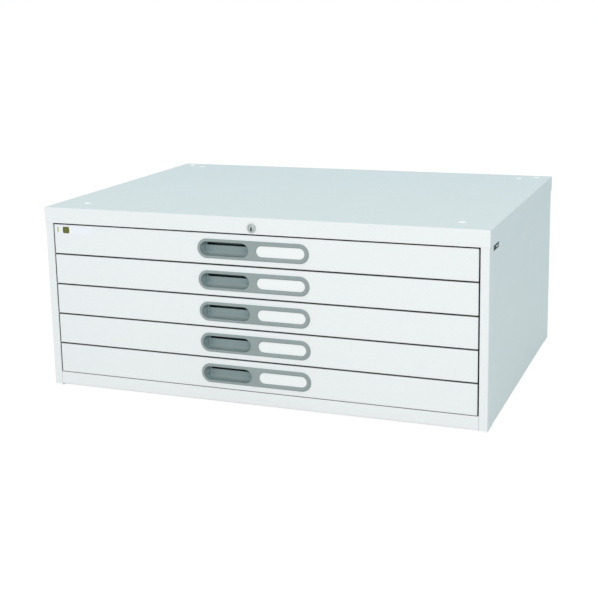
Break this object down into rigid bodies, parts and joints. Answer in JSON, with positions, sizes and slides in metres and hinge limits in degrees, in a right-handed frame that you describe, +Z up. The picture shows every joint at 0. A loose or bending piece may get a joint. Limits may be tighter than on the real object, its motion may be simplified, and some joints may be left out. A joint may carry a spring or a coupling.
{
  "type": "flat file cabinet",
  "caption": "Low steel flat file cabinet for large sheets, with shallow drawers on three-part slides, moulded pulls with label windows, and one lock that holds all the drawers.",
  "frame": {"origin": "on the floor under the middle of the case", "axes": "+Z up; the drawer fronts face -Y; +X to the right as seen from the front; drawers pull out along -Y"},
  "size_m": [0.98, 0.7038, 0.403],
  "materials": {
    "case_paint": "satin",
    "front_paint": "satin",
    "inner_paint": "satin",
    "slide_steel": "zinc plated",
    "zinc_steel": "zinc plated",
    "nickel": "satin",
    "pull_plastic": "fine grain",
    "white_plastic": "matte",
    "card": "matte",
    "dark_label": "matte"
  },
  "bodies": {
    "case": {"top_cover": "case_paint", "left_side_panel": "case_paint", "right_side_panel": "case_paint", "back_panel": "case_paint", "bottom_panel": "inner_paint", "front_plinth": "case_paint", "left_front_upright": "inner_paint", "left_rear_upright": "inner_paint", "right_front_upright": "inner_paint", "right_rear_upright": "inner_paint", "slide_screws": "zinc_steel", "corner_glides": "white_plastic", "top_hole_plugs": "white_plastic", "back_panel_screws": "zinc_steel", "side_label": "dark_label", "lock_housing": "nickel", "lock_nut": "zinc_steel", "lock_rod_bracket": "zinc_steel", "lock_bar_guides": "white_plastic", "cabinet_rails_1": "slide_steel", "cabinet_rails_2": "slide_steel", "cabinet_rails_3": "slide_steel", "cabinet_rails_4": "slide_steel", "cabinet_rails_5": "slide_steel"},
    "lock_core": {"lock_plug": "nickel", "lock_rod": "zinc_steel", "lock_crank": "zinc_steel"},
    "lock_bar": {"lock_bar": "zinc_steel", "lock_tongues": "zinc_steel"},
    "drawer_1": {"drawer_1_front": "front_paint", "drawer_1_tray": "inner_paint", "drawer_1_handle": "pull_plastic", "drawer_1_label_card": "card", "drawer_1_inner_rails": "slide_steel", "drawer_1_sticker": "card"},
    "drawer_1_middle_rails": {"drawer_1_middle_rails": "slide_steel"},
    "drawer_2": {"drawer_2_front": "front_paint", "drawer_2_tray": "inner_paint", "drawer_2_handle": "pull_plastic", "drawer_2_label_card": "card", "drawer_2_inner_rails": "slide_steel"},
    "drawer_2_middle_rails": {"drawer_2_middle_rails": "slide_steel"},
    "drawer_3": {"drawer_3_front": "front_paint", "drawer_3_tray": "inner_paint", "drawer_3_handle": "pull_plastic", "drawer_3_label_card": "card", "drawer_3_inner_rails": "slide_steel"},
    "drawer_3_middle_rails": {"drawer_3_middle_rails": "slide_steel"},
    "drawer_4": {"drawer_4_front": "front_paint", "drawer_4_tray": "inner_paint", "drawer_4_handle": "pull_plastic", "drawer_4_label_card": "card", "drawer_4_inner_rails": "slide_steel"},
    "drawer_4_middle_rails": {"drawer_4_middle_rails": "slide_steel"},
    "drawer_5": {"drawer_5_front": "front_paint", "drawer_5_tray": "inner_paint", "drawer_5_handle": "pull_plastic", "drawer_5_label_card": "card", "drawer_5_inner_rails": "slide_steel"},
    "drawer_5_middle_rails": {"drawer_5_middle_rails": "slide_steel"}
  },
  "joints": [
    {"name": "lock_bar_lift", "type": "slide", "parent": "case", "child": "lock_bar", "axis": [0, 0, 1], "range_m": [0, 0.01]},
    {"name": "lock_turn", "type": "hinge", "parent": "case", "child": "lock_core", "pos_m": [0, -0.35, 0.3815], "axis": [0, 1, 0], "range_deg": [0, 90]},
    {"name": "drawer_1_slide", "type": "slide", "parent": "case", "child": "drawer_1", "axis": [0, -1, 0], "range_m": [0, 0.6]},
    {"name": "drawer_1_middle_slide", "type": "slide", "parent": "case", "child": "drawer_1_middle_rails", "axis": [0, -1, 0], "range_m": [0, 0.3]},
    {"name": "drawer_2_slide", "type": "slide", "parent": "case", "child": "drawer_2", "axis": [0, -1, 0], "range_m": [0, 0.6]},
    {"name": "drawer_2_middle_slide", "type": "slide", "parent": "case", "child": "drawer_2_middle_rails", "axis": [0, -1, 0], "range_m": [0, 0.3]},
    {"name": "drawer_3_slide", "type": "slide", "parent": "case", "child": "drawer_3", "axis": [0, -1, 0], "range_m": [0, 0.6]},
    {"name": "drawer_3_middle_slide", "type": "slide", "parent": "case", "child": "drawer_3_middle_rails", "axis": [0, -1, 0], "range_m": [0, 0.3]},
    {"name": "drawer_4_slide", "type": "slide", "parent": "case", "child": "drawer_4", "axis": [0, -1, 0], "range_m": [0, 0.6]},
    {"name": "drawer_4_middle_slide", "type": "slide", "parent": "case", "child": "drawer_4_middle_rails", "axis": [0, -1, 0], "range_m": [0, 0.3]},
    {"name": "drawer_5_slide", "type": "slide", "parent": "case", "child": "drawer_5", "axis": [0, -1, 0], "range_m": [0, 0.6]},
    {"name": "drawer_5_middle_slide", "type": "slide", "parent": "case", "child": "drawer_5_middle_rails", "axis": [0, -1, 0], "range_m": [0, 0.3]}
  ],
  "couplings": [
    {"joint": "lock_turn", "follows": "lock_bar_lift", "rad_per_m": 157.07},
    {"joint": "drawer_1_middle_slide", "follows": "drawer_1_slide", "ratio": 0.5},
    {"joint": "drawer_2_middle_slide", "follows": "drawer_2_slide", "ratio": 0.5},
    {"joint": "drawer_3_middle_slide", "follows": "drawer_3_slide", "ratio": 0.5},
    {"joint": "drawer_4_middle_slide", "follows": "drawer_4_slide", "ratio": 0.5},
    {"joint": "drawer_5_middle_slide", "follows": "drawer_5_slide", "ratio": 0.5}
  ]
}
